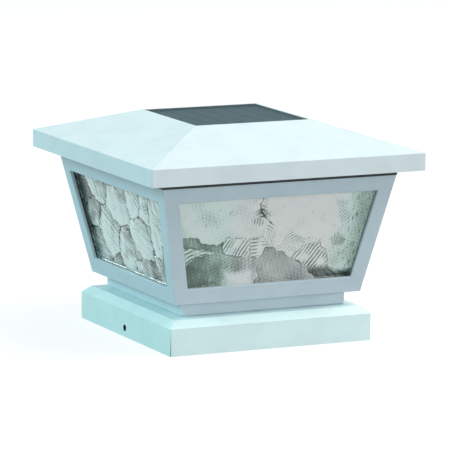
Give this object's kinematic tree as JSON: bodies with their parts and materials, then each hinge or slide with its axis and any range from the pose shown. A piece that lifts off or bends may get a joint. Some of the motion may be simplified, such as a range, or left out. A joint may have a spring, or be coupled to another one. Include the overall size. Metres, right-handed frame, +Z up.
{
  "type": "deck post cap light",
  "caption": "Solar lantern for the top of a square deck post: hipped roof with a solar panel, tapered lantern with textured panes, collar open underneath.",
  "frame": {"origin": "centre of the collar at the level of its bottom rim", "axes": "+Z up along the post; the side screw holes look along +X and -X; the window in front looks along -Y"},
  "size_m": [0.2012, 0.2012, 0.1484],
  "materials": {
    "coat": "white powder coat with a cool cast, satin",
    "pane_glass": "rolled glass with a feathered relief",
    "black_rubber": "matt black weather strip",
    "sealant": "dark silicone bead",
    "clip_steel": "zinc-plated sheet",
    "screw_steel": "plated steel",
    "panel_cover": "dark tinted cover, semi-gloss",
    "silicon": "dark blue-grey cells",
    "panel_backing": "dark laminate",
    "white_plastic": "white moulded plastic, fine texture",
    "board": "green laminate",
    "black_plastic": "black moulded plastic",
    "led_resin": "clear resin over yellow phosphor",
    "lens_plastic": "frosted diffuser",
    "cell_wrap": "plain green shrink wrap",
    "contact_metal": "nickel-plated spring steel",
    "lead_red": "insulated lead",
    "lead_blue": "insulated lead"
  },
  "bodies": {
    "base": {"post_base": "coat", "lantern_frame": "coat", "pane_front": "pane_glass", "pane_right": "pane_glass", "pane_back": "pane_glass", "pane_left": "pane_glass", "seal_front": "black_rubber", "seal_right": "black_rubber", "seal_back": "black_rubber", "seal_left": "black_rubber", "eave_strip": "black_rubber", "pane_clips": "clip_steel", "clip_screws": "screw_steel", "base_screws": "screw_steel", "roof_screws": "screw_steel"},
    "roof": {"roof_cap": "coat", "roof_gasket": "black_rubber", "solar_glass": "panel_cover", "solar_cells": "silicon", "solar_backing": "panel_backing", "panel_seal": "sealant", "panel_leads": "lead_red", "module_case": "white_plastic", "module_screws": "screw_steel", "circuit_board": "board", "board_parts": "black_plastic", "board_screws": "screw_steel", "leds": "led_resin", "led_lens": "lens_plastic", "battery": "cell_wrap", "contact_spring": "contact_metal", "contact_plate": "contact_metal", "switch_body": "black_plastic", "switch_leads": "lead_blue"},
    "battery_door": {"battery_door": "white_plastic"},
    "switch_knob": {"switch_knob": "black_plastic"}
  },
  "joints": [
    {"name": "roof_lift", "type": "slide", "parent": "base", "child": "roof", "axis": [0, 0, 1], "range_m": [0, 0.045]},
    {"name": "battery_door_off", "type": "slide", "parent": "roof", "child": "battery_door", "axis": [0, 0, -1], "range_m": [0, 0.03]},
    {"name": "switch_slide", "type": "slide", "parent": "roof", "child": "switch_knob", "axis": [1, 0, 0], "range_m": [0, 0.003]}
  ]
}
